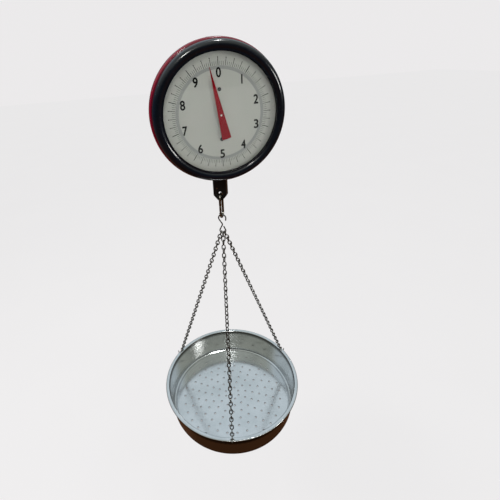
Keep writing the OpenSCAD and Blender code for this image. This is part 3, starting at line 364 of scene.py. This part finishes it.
@dataclass(frozen=True)
class SpunMetal:
    """Spun sheet: rings of turning marks about the Z axis, a faintly cloudy satin, and painted shade around
    the drain holes, in the bend under the rim and in the groove round the floor.
    """

    name: str
    bright: Colour
    dull: Colour
    # colour of the painted shade laid around the drain holes and in the rim bend and floor groove
    stain: Colour
    roughness: float = 0.17
    anisotropy: float = 0.3
    drain_pitch: float = 0.0167
    drain_rings: int = 7
    drain_turn: float = math.radians(55.0)
    # painted shade around each drain hole: its radius, and the shares of it where the shade starts fading and
    # where it ends
    stain_radius: float = 0.0022
    stain_inner: float = 0.95
    stain_outer: float = 1.08
    bend_radius: float = 0.1481
    # width of the painted shade in the bend under the rim
    bend_grime: float = 0.0009
    groove_radius: float = 0.1392
    # width and strength of the painted shade in the groove round the floor
    groove_grime: float = 0.0016
    groove_share: float = 0.45
    mark_scale: float = 2600.0
    mark_height: float = 0.000012
    cloud_scale: float = 22.0

    def hole_distance(self, shader: Shader, radius: bpy.types.NodeSocket) -> bpy.types.NodeSocket:
        """Distance to the nearest drain hole.

        Ring k lies at k times the pitch and holds 4 (k + 1) holes, so the distance is the root of the squared
        distance from the ring and the squared arc to the nearest of its holes.

        Args:
            shader: the finish's node tree.
            radius: distance from the Z axis.

        Returns:
            The distance in metres.
        """
        ring = shader.math("ROUND", shader.math("DIVIDE", radius, self.drain_pitch))
        step = shader.math("DIVIDE", FULL_TURN / 4, shader.math("ADD", ring, 1.0))
        around = shader.math("ARCTAN2", shader.axis("Y"), shader.axis("X"))
        angle = shader.math("SUBTRACT", around, self.drain_turn)
        half = shader.math("MULTIPLY", step, 0.5)
        near = shader.math("WRAP", angle, half, shader.math("MULTIPLY", half, -1.0))
        along = shader.math("MULTIPLY", near, radius)
        across = shader.math("SUBTRACT", radius, shader.math("MULTIPLY", ring, self.drain_pitch))
        squares = shader.math("ADD", shader.math("POWER", along, 2.0), shader.math("POWER", across, 2.0))
        return shader.math("SQRT", squares)

    def stained(self, shader: Shader, radius: bpy.types.NodeSocket) -> bpy.types.NodeSocket:
        """Painted shade that darkens the drain holes: within the shade's radius of a hole, on the rings that
        have holes.

        Args:
            shader: the finish's node tree.
            radius: distance from the Z axis.

        Returns:
            1 in the painted shade and 0 outside.
        """
        near = shader.spread(self.hole_distance(shader, radius), 1.0, 0.0,
                             self.stain_radius * self.stain_inner, self.stain_radius * self.stain_outer)
        within = shader.math("LESS_THAN", radius, self.drain_pitch * (self.drain_rings + 0.5))
        beyond = shader.math("GREATER_THAN", radius, self.drain_pitch / 2)
        return shader.math("MULTIPLY", near, shader.math("MULTIPLY", within, beyond))

    def material(self) -> bpy.types.Material:
        """Builds the finish.

        Returns:
            The new material.
        """
        shader = Shader(self.name)
        shader.put(Metallic=1.0, Anisotropic=self.anisotropy)
        radius = shader.distance_from("X", "Y")
        ring = shader.tree.nodes.new("ShaderNodeCombineXYZ")
        shader.tree.links.new(radius, ring.inputs["X"])
        shader.tree.links.new(shader.axis("Z"), ring.inputs["Y"])
        marks = shader.noise(self.mark_scale, 3, 0.7, ring.outputs["Vector"])
        clouds = shader.noise(self.cloud_scale, 4, 0.6)
        metal = shader.ramp(clouds, [(0.3, self.dull), (0.7, self.bright)])
        # painted shade: dark rings in the bend under the rim and in the groove round the floor, where these
        # creases fall in shade
        bend = shader.ring_band(radius, self.bend_radius, self.bend_grime)
        groove = shader.ring_band(radius, self.groove_radius, self.groove_grime)
        crease_shade = shader.math("MAXIMUM", bend, shader.math("MULTIPLY", groove, self.groove_share))
        # painted shade darkening the drain holes, joined with the painted shade rings in the creases
        painted_shade = shader.math("MAXIMUM", self.stained(shader, radius), crease_shade)
        shader.link(shader.over(painted_shade, metal, self.stain), "Base Color")
        rough = shader.math("ADD", shader.spread(marks, -0.04, 0.05),
                            shader.spread(clouds, self.roughness + 0.05, self.roughness - 0.04))
        shader.link(rough, "Roughness")
        shader.bump(marks, self.mark_height)
        return shader.material


@dataclass(frozen=True)
class ClearGlass:
    """Clear lens glass with a faint haze and surface ripple."""

    name: str
    tint: Colour = (0.96, 0.985, 0.97)
    index: float = 1.35
    haze_scale: float = 30.0
    haze_roughness: float = 0.02
    ripple_scale: float = 12.0
    ripple: float = 0.00002

    def material(self) -> bpy.types.Material:
        """Builds the finish.

        Returns:
            The new material.
        """
        shader = Shader(self.name)
        shader.put(Transmission_Weight=1.0, IOR=self.index, Metallic=0.0)
        haze = shader.noise(self.haze_scale, 3)
        shader.link(shader.ramp(haze, [(0.2, self.tint), (0.8, WHITE)]), "Base Color")
        shader.link(shader.spread(haze, 0.0, self.haze_roughness), "Roughness")
        shader.bump(shader.noise(self.ripple_scale, 1), self.ripple)
        return shader.material


@dataclass(frozen=True)
class FlatInk:
    """Printed ink: a flat colour broken by the fine tooth of the enamel under it."""

    name: str
    colour: Colour
    worn: Colour
    roughness: float = 0.5
    rougher: float = 0.15
    specular: float = 0.12
    tooth_scale: float = 900.0

    def material(self) -> bpy.types.Material:
        """Builds the finish.

        Returns:
            The new material.
        """
        shader = Shader(self.name)
        shader.put(Specular_IOR_Level=self.specular, Metallic=0.0)
        speckle = shader.noise(self.tooth_scale, 3, 0.7)
        shader.link(shader.ramp(speckle, [(0.35, self.colour), (0.75, self.worn)]), "Base Color")
        shader.link(shader.spread(speckle, self.roughness, self.roughness + self.rougher), "Roughness")
        return shader.material


def dress(nodes: Sequence[str], material: bpy.types.Material) -> None:
    """Gives CAD nodes a material in every slot.

    Args:
        nodes: the nodes' names.
        material: the finish.
    """
    for name in nodes:
        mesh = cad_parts[name].data
        if not mesh.materials:
            mesh.materials.append(material)
        for index in range(len(mesh.materials)):
            mesh.materials[index] = material
        LOG.info("dressed %s in %s", name, material.name)


def add_piece(mesh: bpy.types.Mesh, name: str, body: str, material: bpy.types.Material) -> None:
    """Links a new piece, gives it its finish and lets it ride on a body.

    Args:
        mesh: the piece's mesh, in the row frame.
        name: the piece's name.
        body: the body that it moves with.
        material: its finish.
    """
    piece = bpy.data.objects.new(name, mesh)
    bpy.context.scene.collection.objects.link(piece)
    mesh.materials.clear()
    mesh.materials.append(material)
    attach(piece, body)
    LOG.info("piece %s on %s: %d faces", name, body, len(mesh.polygons))


# ------------------------------------------------------------------ dial print


class Stroke(Enum):
    """Kinds of mark on the dial, each with its inner and outer radius and its width, in metres."""

    FINE = (0.0703, 0.0757, 0.0005)
    QUARTER = (0.0703, 0.0800, 0.0007)
    UNIT = (0.0703, 0.0822, 0.0010)


@dataclass
class DialPrint:
    """The ring of marks, the numerals and the grey band, laid on the dial plate's face."""

    centre_z: float
    face_y: float
    units: int = 10
    quarters: int = 4
    marks_per_quarter: int = 4
    band_inner: float = 0.0652
    band_outer: float = 0.0700
    band_steps: int = 240
    dot_radius: float = 0.0810
    dot_size: float = 0.0016
    dot_sides: int = 16
    numeral_radius: float = 0.0608
    numeral_height: float = 0.0133
    numeral_width: float = 0.0069
    numeral_curve_steps: int = 8
    bar_numeral: int = 1
    bar_width: float = 0.002208
    thicken: float = 0.00048
    thicken_steps: int = 8
    thicken_lift: float = 0.000002
    lift: float = 0.00006

    def polar(self, radius: np.ndarray, angle: np.ndarray, aside: np.ndarray) -> np.ndarray:
        """Points on the ink's face.

        A radius r, a clockwise angle a and a distance s aside along the circle give
        x = r sin a + s cos a and z = the dial's centre + r cos a - s sin a.

        Args:
            radius: distances from the dial's axis.
            angle: clockwise angles from the top, in radians.
            aside: distances along the circle, of the same shape.

        Returns:
            The points, with their three coordinates on the last axis.
        """
        x = radius * np.sin(angle) + aside * np.cos(angle)
        z = self.centre_z + radius * np.cos(angle) - aside * np.sin(angle)
        return np.stack((x, np.full_like(x, self.face_y - self.lift), z), axis=-1)

    def stroke_mesh(self) -> bpy.types.Mesh:
        """All the marks: one four-sided bar each, from its inner to its outer radius at its own angle.

        Returns:
            One mesh of all the bars.
        """
        per_unit = self.quarters * self.marks_per_quarter
        total = self.units * per_unit
        index = np.arange(total)
        kind = (index % self.marks_per_quarter == 0).astype(int) + (index % per_unit == 0)
        sizes = np.array([stroke.value for stroke in Stroke])[kind]
        angle = FULL_TURN * index / total
        radius = sizes[:, [0, 0, 1, 1]]
        aside = sizes[:, 2:3] / 2 * np.array([[-1, 1, 1, -1]])
        points = self.polar(radius, np.repeat(angle[:, None], 4, 1), aside).reshape(-1, 3)
        return new_mesh("dial_marks", points, np.arange(total * 4).reshape(-1, 4)[:, ::-1])

    def dot_mesh(self) -> bpy.types.Mesh:
        """Dots over the quarter marks: discs made of four-sided strips across them.

        Corner k of a disc of n corners lies at an angle k / n of a turn, and each strip joins corners
        k, k + 1, n - 2 - k and n - 1 - k.

        Returns:
            One mesh of all the dots.
        """
        count, sides = self.units * self.quarters, self.dot_sides
        index = np.arange(count)
        angle = (FULL_TURN * index / count)[index % self.quarters != 0][:, None]
        turn = np.linspace(0, FULL_TURN, sides, endpoint=False)[None, :]
        radius = self.dot_radius + self.dot_size / 2 * np.cos(turn) + 0 * angle
        aside = self.dot_size / 2 * np.sin(turn) + 0 * angle
        points = self.polar(radius, np.repeat(angle, sides, 1), aside).reshape(-1, 3)
        step = np.arange(sides // 2 - 1)
        strip = np.stack((step, step + 1, sides - 2 - step, sides - 1 - step), axis=-1)
        faces = (np.arange(len(angle))[:, None, None] * sides + strip[None]).reshape(-1, 4)
        return new_mesh("dial_dots", points, faces)

    def band_mesh(self) -> bpy.types.Mesh:
        """The band: a flat ring between two circles of points, just under the other ink.

        Returns:
            The band's mesh.
        """
        angle = np.linspace(0, FULL_TURN, self.band_steps, endpoint=False)[None, :]
        radius = np.array([[self.band_inner], [self.band_outer]])
        points = self.polar(radius + 0 * angle, angle + 0 * radius, 0 * angle + 0 * radius)
        points[..., 1] += self.lift / 2
        column = np.arange(self.band_steps)
        beside = (column + 1) % self.band_steps
        faces = np.stack((column, beside, self.band_steps + beside, self.band_steps + column), axis=-1)
        return new_mesh("dial_band", points.reshape(-1, 3), faces[:, ::-1])

    def bar_mesh(self, name: str, middle: np.ndarray) -> bpy.types.Mesh:
        """The numeral that is a plain bar: a rectangle about its middle.

        Args:
            name: the mesh's name.
            middle: the numeral's middle.

        Returns:
            The bar's mesh.
        """
        half = np.array([self.bar_width, self.numeral_height]) / 2
        corners = np.array([[-1, -1], [1, -1], [1, 1], [-1, 1]]) * half
        return new_mesh(name, np.insert(corners, 1, 0, axis=1) + middle, np.array([[0, 1, 2, 3]]))

    def text_mesh(self, name: str, text: str, middle: np.ndarray) -> bpy.types.Mesh:
        """A numeral made from text: brought to its width and height, stood up and thickened.

        It is thickened by laying a ring of copies on each other, each shifted by the same small amount
        and lifted a little above the one before.

        Args:
            name: the mesh's name.
            text: the numeral.
            middle: the numeral's middle.

        Returns:
            The numeral's mesh.
        """
        curve = bpy.data.curves.new(name, "FONT")
        curve.body, curve.resolution_u = text, self.numeral_curve_steps
        holder = bpy.data.objects.new("numeral", curve)
        bpy.context.scene.collection.objects.link(holder)
        mesh = bpy.data.meshes.new_from_object(holder.evaluated_get(bpy.context.evaluated_depsgraph_get()))
        bpy.data.objects.remove(holder)
        places = np.zeros(len(mesh.vertices) * 3, np.float32)
        mesh.vertices.foreach_get("co", places)
        places = places.reshape(-1, 3)
        mesh.calc_loop_triangles()
        triangles = np.zeros(len(mesh.loop_triangles) * 3, np.int32)
        mesh.loop_triangles.foreach_get("vertices", triangles)
        low, high = places.min(0), places.max(0)
        scale = np.array([self.numeral_width, self.numeral_height]) / (high - low)[:2]
        flat = (places[:, :2] - (low + high)[:2] / 2) * scale
        placed = np.insert(flat, 1, 0, axis=1) + middle
        copy = np.arange(self.thicken_steps)
        turn = copy * FULL_TURN / self.thicken_steps
        shifts = np.stack((self.thicken * np.cos(turn), -copy * self.thicken_lift,
                           self.thicken * np.sin(turn)), axis=1)
        points = placed[None] + shifts[:, None]
        faces = triangles.reshape(-1, 3)[None] + len(placed) * copy[:, None, None]
        return new_mesh(name, points.reshape(-1, 3), faces.reshape(-1, 3))

    def numeral_mesh(self, number: int) -> bpy.types.Mesh:
        """One numeral on its circle, at its own share of a turn from the top.

        Args:
            number: the numeral, from 0 to 9.

        Returns:
            The numeral's mesh.
        """
        angle = FULL_TURN * number / self.units
        middle = np.array([self.numeral_radius * math.sin(angle), self.face_y - self.lift,
                           self.centre_z + self.numeral_radius * math.cos(angle)])
        name = f"numeral_{number}"
        if number == self.bar_numeral:
            return self.bar_mesh(name, middle)
        return self.text_mesh(name, str(number), middle)

    def build(self) -> None:
        """Makes the print's pieces and dresses them."""
        black = FlatInk("dial_black_ink", (0.004, 0.004, 0.005), (0.010, 0.010, 0.010)).material()
        grey = FlatInk("dial_grey_ink", (0.30, 0.31, 0.30), (0.36, 0.37, 0.36)).material()
        add_piece(self.stroke_mesh(), "dial_marks", "case", black)
        add_piece(self.dot_mesh(), "dial_dots", "case", black)
        add_piece(self.band_mesh(), "dial_band", "case", grey)
        for number in range(self.units):
            add_piece(self.numeral_mesh(number), f"numeral_{number}", "case", black)


# ------------------------------------------------------------------ sub-assemblies


@dataclass
class Head:
    """The case, the bezel, the dial and the movement behind it."""

    dial_print: DialPrint

    def dress_outside(self) -> None:
        """Dresses the case, the bezel, the lens and the dial."""
        red = Enamel("case_crimson_enamel", (0.34, 0.008, 0.040), (0.28, 0.006, 0.032))
        dress(["case_shell", "rear_cover"], red.material())
        black = Enamel("bezel_black_enamel", (0.008, 0.014, 0.028), (0.005, 0.009, 0.018))
        dress(["front_bezel"], black.material())
        dress(["lens"], ClearGlass("lens_glass").material())
        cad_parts["lens"].visible_shadow = False
        gasket = FlatInk("gasket_black", (0.01, 0.01, 0.01), (0.02, 0.02, 0.02), roughness=0.7)
        dress(["lens_gasket"], gasket.material())
        white = Enamel("dial_white_enamel", (0.50, 0.51, 0.475), (0.46, 0.47, 0.437), roughness=0.5, coat=0.0,
                       coat_roughness=0.2, peel=0.00001, mottle=18.0, specular=0.2)
        dress(["dial_plate"], white.material())
        scarlet = Enamel("pointer_red_enamel", (0.27, 0.002, 0.010), (0.21, 0.002, 0.008), roughness=0.5,
                         coat=0.0, coat_roughness=0.1, peel=0.00001, specular=0.12)
        dress(["pointer"], scarlet.material())

    def dress_movement(self) -> None:
        """Dresses the frame, the springs and the gearing."""
        zinc = WireMetal("zinc_plate", (0.66, 0.67, 0.68), (0.5, 0.5, 0.5), roughness=0.34, patch=90.0)
        dress(["front_plate", "rear_plate", "frame_pillars", "frame_screws", "case_standoffs", "case_screws",
               "cover_screws", "bush_nut", "spring_carrier", "crosshead"], zinc.material())
        brass = WireMetal("turned_brass", (0.80, 0.60, 0.28), (0.62, 0.45, 0.2), patch=120.0)
        dress(["dial_posts", "pinion", "shaft_bushes", "rack", "zero_screw", "dashpot_gland", "draw_bar_bush",
               "saddle_washer"], brass.material())
        bright = WireMetal("bright_steel", (0.80, 0.79, 0.77), (0.62, 0.61, 0.59), roughness=0.2, patch=140.0)
        dress(["pointer_shaft", "carrier_guides", "rack_pin", "dashpot_piston", "draw_bar", "swivel_pin"],
              bright.material())
        coils = WireMetal("spring_wire", (0.45, 0.45, 0.47), (0.28, 0.28, 0.3), roughness=0.35, patch=200.0)
        dress(["spring_left", "spring_right"], coils.material())
        tube = WireMetal("turned_aluminium", (0.78, 0.79, 0.8), (0.66, 0.67, 0.68))
        dress(["dashpot_cylinder"], tube.material())
        oxide = Enamel("black_oxide", (0.02, 0.02, 0.022), (0.012, 0.012, 0.013), roughness=0.45, coat=0.2,
                       coat_roughness=0.3)
        dress(["suspension_block"], oxide.material())

    def build(self) -> None:
        """Builds the head."""
        self.dress_outside()
        self.dress_movement()
        self.dial_print.build()


class HookSet:
    """The swivel block, the snap hook, the S-hook, the chains and the rim hooks."""

    def build(self) -> None:
        """Dresses the hooks and chains, and the dial's screws in the block's black."""
        black = Enamel("block_black", (0.014, 0.014, 0.016), (0.008, 0.008, 0.009), roughness=0.34, coat=0.5,
                       coat_roughness=0.18)
        dress(["swivel_block", "dial_screws"], black.material())
        nickel = WireMetal("nickel_wire", (0.62, 0.60, 0.54), (0.30, 0.28, 0.24), roughness=0.2, patch=130.0)
        dress(["snap_hook", "snap_gate", "gate_pin"], nickel.material())
        chain = WireMetal("chain_zinc", (0.46, 0.46, 0.45), (0.16, 0.15, 0.14), roughness=0.26, patch=260.0)
        dress(["s_hook", "chain_front", "chain_right", "chain_left", "rim_hooks"], chain.material())


class Pan:
    """The spun pan."""

    def build(self) -> None:
        """Dresses the pan."""
        # the last colour is the painted shade at the drain holes and in the pan's creases
        spun = SpunMetal("pan_spun_aluminium", (0.80, 0.81, 0.82), (0.70, 0.72, 0.73), (0.012, 0.011, 0.010))
        dress(["pan"], spun.material())


# ------------------------------------------------------------------ studio


@dataclass(frozen=True)
class SoftLight:
    """One soft area light."""

    name: str
    place: Place
    aim: Place
    size: tuple[float, float]
    watts: float
    colour: Colour = WHITE
    mirrored: bool = True

    def make(self) -> None:
        """Puts the light in the scene."""
        data = bpy.data.lights.new(self.name, "AREA")
        data.shape, data.size, data.size_y = "RECTANGLE", *self.size
        data.energy, data.color = self.watts, self.colour
        lamp = bpy.data.objects.new(self.name, data)
        bpy.context.scene.collection.objects.link(lamp)
        lamp.visible_glossy = self.mirrored
        way = Vector(self.aim) - Vector(self.place)
        turn = way.to_track_quat("-Z", "Y").to_matrix().to_4x4()
        lamp.matrix_world = Matrix.Translation(self.place) @ turn


@dataclass
class Studio:
    """The camera, the floor, the surroundings and the lights."""

    dial: Vector
    camera_from_dial: Place = (-0.1310, -0.5358, 0.0845)
    right: Place = (0.9704, -0.2341, -0.0594)
    up: Place = (0.1553, 0.4163, 0.8959)
    lens: float = 24.7
    sensor: float = 36.0
    shift: tuple[float, float] = (0.0676, -0.0540)
    clip: tuple[float, float] = (0.01, 50.0)
    floor_drop: float = 0.30
    floor_half: float = 12.0
    floor_glow: float = 0.93
    pale: Colour = (0.835, 0.822, 0.828)
    dimmed: Colour = (0.66, 0.62, 0.52)
    dimmed_from: float = 0.10
    dimmed_to: float = 0.30
    below: Place = (0.0, 0.0, -0.3)

    def make_camera(self) -> None:
        """Makes the camera from its place and its right and up directions."""
        data = bpy.data.cameras.new("camera")
        data.lens, data.sensor_width = self.lens, self.sensor
        data.shift_x, data.shift_y = self.shift
        data.clip_start, data.clip_end = self.clip
        camera = bpy.data.objects.new("camera", data)
        bpy.context.scene.collection.objects.link(camera)
        right = Vector(self.right).normalized()
        back = right.cross(Vector(self.up).normalized()).normalized()
        turn = Matrix((right, back.cross(right), back)).transposed().to_4x4()
        camera.matrix_world = Matrix.Translation(self.dial + Vector(self.camera_from_dial)) @ turn
        bpy.context.scene.camera = camera

    def make_floor(self, lowest: float) -> None:
        """Makes a plain pale floor below the object, which glows faintly so that it stays pale in soft light.

        Args:
            lowest: height of the object's lowest point.
        """
        corners = np.array([[-1, -1], [1, -1], [1, 1], [-1, 1]]) * self.floor_half
        points = np.insert(corners, 2, lowest - self.floor_drop, axis=1)
        mesh = new_mesh("floor", points, np.array([[0, 1, 2, 3]]))
        floor = bpy.data.objects.new("floor", mesh)
        bpy.context.scene.collection.objects.link(floor)
        shader = Shader("pale_floor")
        shader.put(Roughness=0.95, Specular_IOR_Level=0.0, Emission_Color=(*self.pale, 1.0),
                   Emission_Strength=self.floor_glow)
        greys = [(0.3, (0.10, 0.10, 0.10)), (0.7, (0.11, 0.11, 0.11))]
        shader.link(shader.ramp(shader.noise(3.0), greys), "Base Color")
        mesh.materials.append(shader.material)
        floor.visible_glossy = floor.visible_diffuse = False

    def make_surroundings(self) -> None:
        """Makes the room: pale where the camera looks past the object, and darker in what the object mirrors.

        The room's colour goes from brown below through dark at eye level to pale blue above, and it is
        dimmed in front of the object.
        """
        world = bpy.data.worlds.new("studio")
        bpy.context.scene.world = world
        world.use_nodes = True
        nodes, link = world.node_tree.nodes, world.node_tree.links.new
        nodes.clear()
        output, mix = nodes.new("ShaderNodeOutputWorld"), nodes.new("ShaderNodeMixShader")
        seen, room = nodes.new("ShaderNodeBackground"), nodes.new("ShaderNodeBackground")
        path, place = nodes.new("ShaderNodeLightPath"), nodes.new("ShaderNodeTexCoord")
        split, ramp = nodes.new("ShaderNodeSeparateXYZ"), nodes.new("ShaderNodeValToRGB")
        height, front = nodes.new("ShaderNodeMapRange"), nodes.new("ShaderNodeMapRange")
        dimming = nodes.new("ShaderNodeMix")
        dimming.data_type, dimming.blend_type = "RGBA", "MULTIPLY"
        dimming.inputs[MIX_OVER].default_value = (*self.dimmed, 1.0)
        front.inputs["From Min"].default_value = self.dimmed_to
        front.inputs["From Max"].default_value = self.dimmed_from
        height.inputs["From Min"].default_value, height.inputs["From Max"].default_value = -1.0, 1.0
        set_stops(ramp, ROOM_COLOURS)
        link(place.outputs["Generated"], split.inputs["Vector"])
        link(split.outputs["Z"], height.inputs["Value"])
        link(height.outputs["Result"], ramp.inputs["Fac"])
        link(split.outputs["Y"], front.inputs["Value"])
        link(front.outputs["Result"], dimming.inputs[MIX_FACTOR])
        link(ramp.outputs["Color"], dimming.inputs[MIX_UNDER])
        link(dimming.outputs[MIX_RESULT], room.inputs["Color"])
        seen.inputs["Color"].default_value = (*self.pale, 1.0)
        link(path.outputs["Is Camera Ray"], mix.inputs[0])
        link(room.outputs["Background"], mix.inputs[1])
        link(seen.outputs["Background"], mix.inputs[2])
        link(mix.outputs["Shader"], output.inputs["Surface"])

    def make_lights(self) -> None:
        """Makes the soft lights."""
        bpy.context.scene.view_settings.view_transform = "Standard"
        dial = tuple(self.dial)
        SoftLight("key", (1.15, -0.95, 0.10), dial, (0.3, 0.3), 3.2, (1.0, 0.98, 0.94)).make()
        SoftLight("front", (-0.4, -1.5, 1.1), self.below, (0.2, 0.2), 4.0, (1.0, 0.99, 0.96)).make()
        SoftLight("ceiling", (0.35, -0.2, 1.4), self.below, (0.22, 0.12), 4.0).make()
        SoftLight("side", (-1.3, 0.35, 0.45), dial, (0.5, 0.5), 16.0, (1.0, 0.95, 0.94), False).make()

    def build(self, lowest: float) -> None:
        """Builds the studio.

        Args:
            lowest: height of the object's lowest point.
        """
        self.make_camera()
        self.make_floor(lowest)
        self.make_surroundings()
        self.make_lights()


def main() -> None:
    """Builds the scene in order and reports each piece."""
    logging.basicConfig(level=logging.INFO, format="%(message)s")
    low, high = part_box("dial_plate")
    centre_z = (low.z + high.z) / 2
    Studio(Vector((0.0, low.y, centre_z))).build(CAD_BOX[0][2])
    Head(DialPrint(centre_z=centre_z, face_y=low.y)).build()
    HookSet().build()
    Pan().build()


if __name__ == "__main__":
    main()
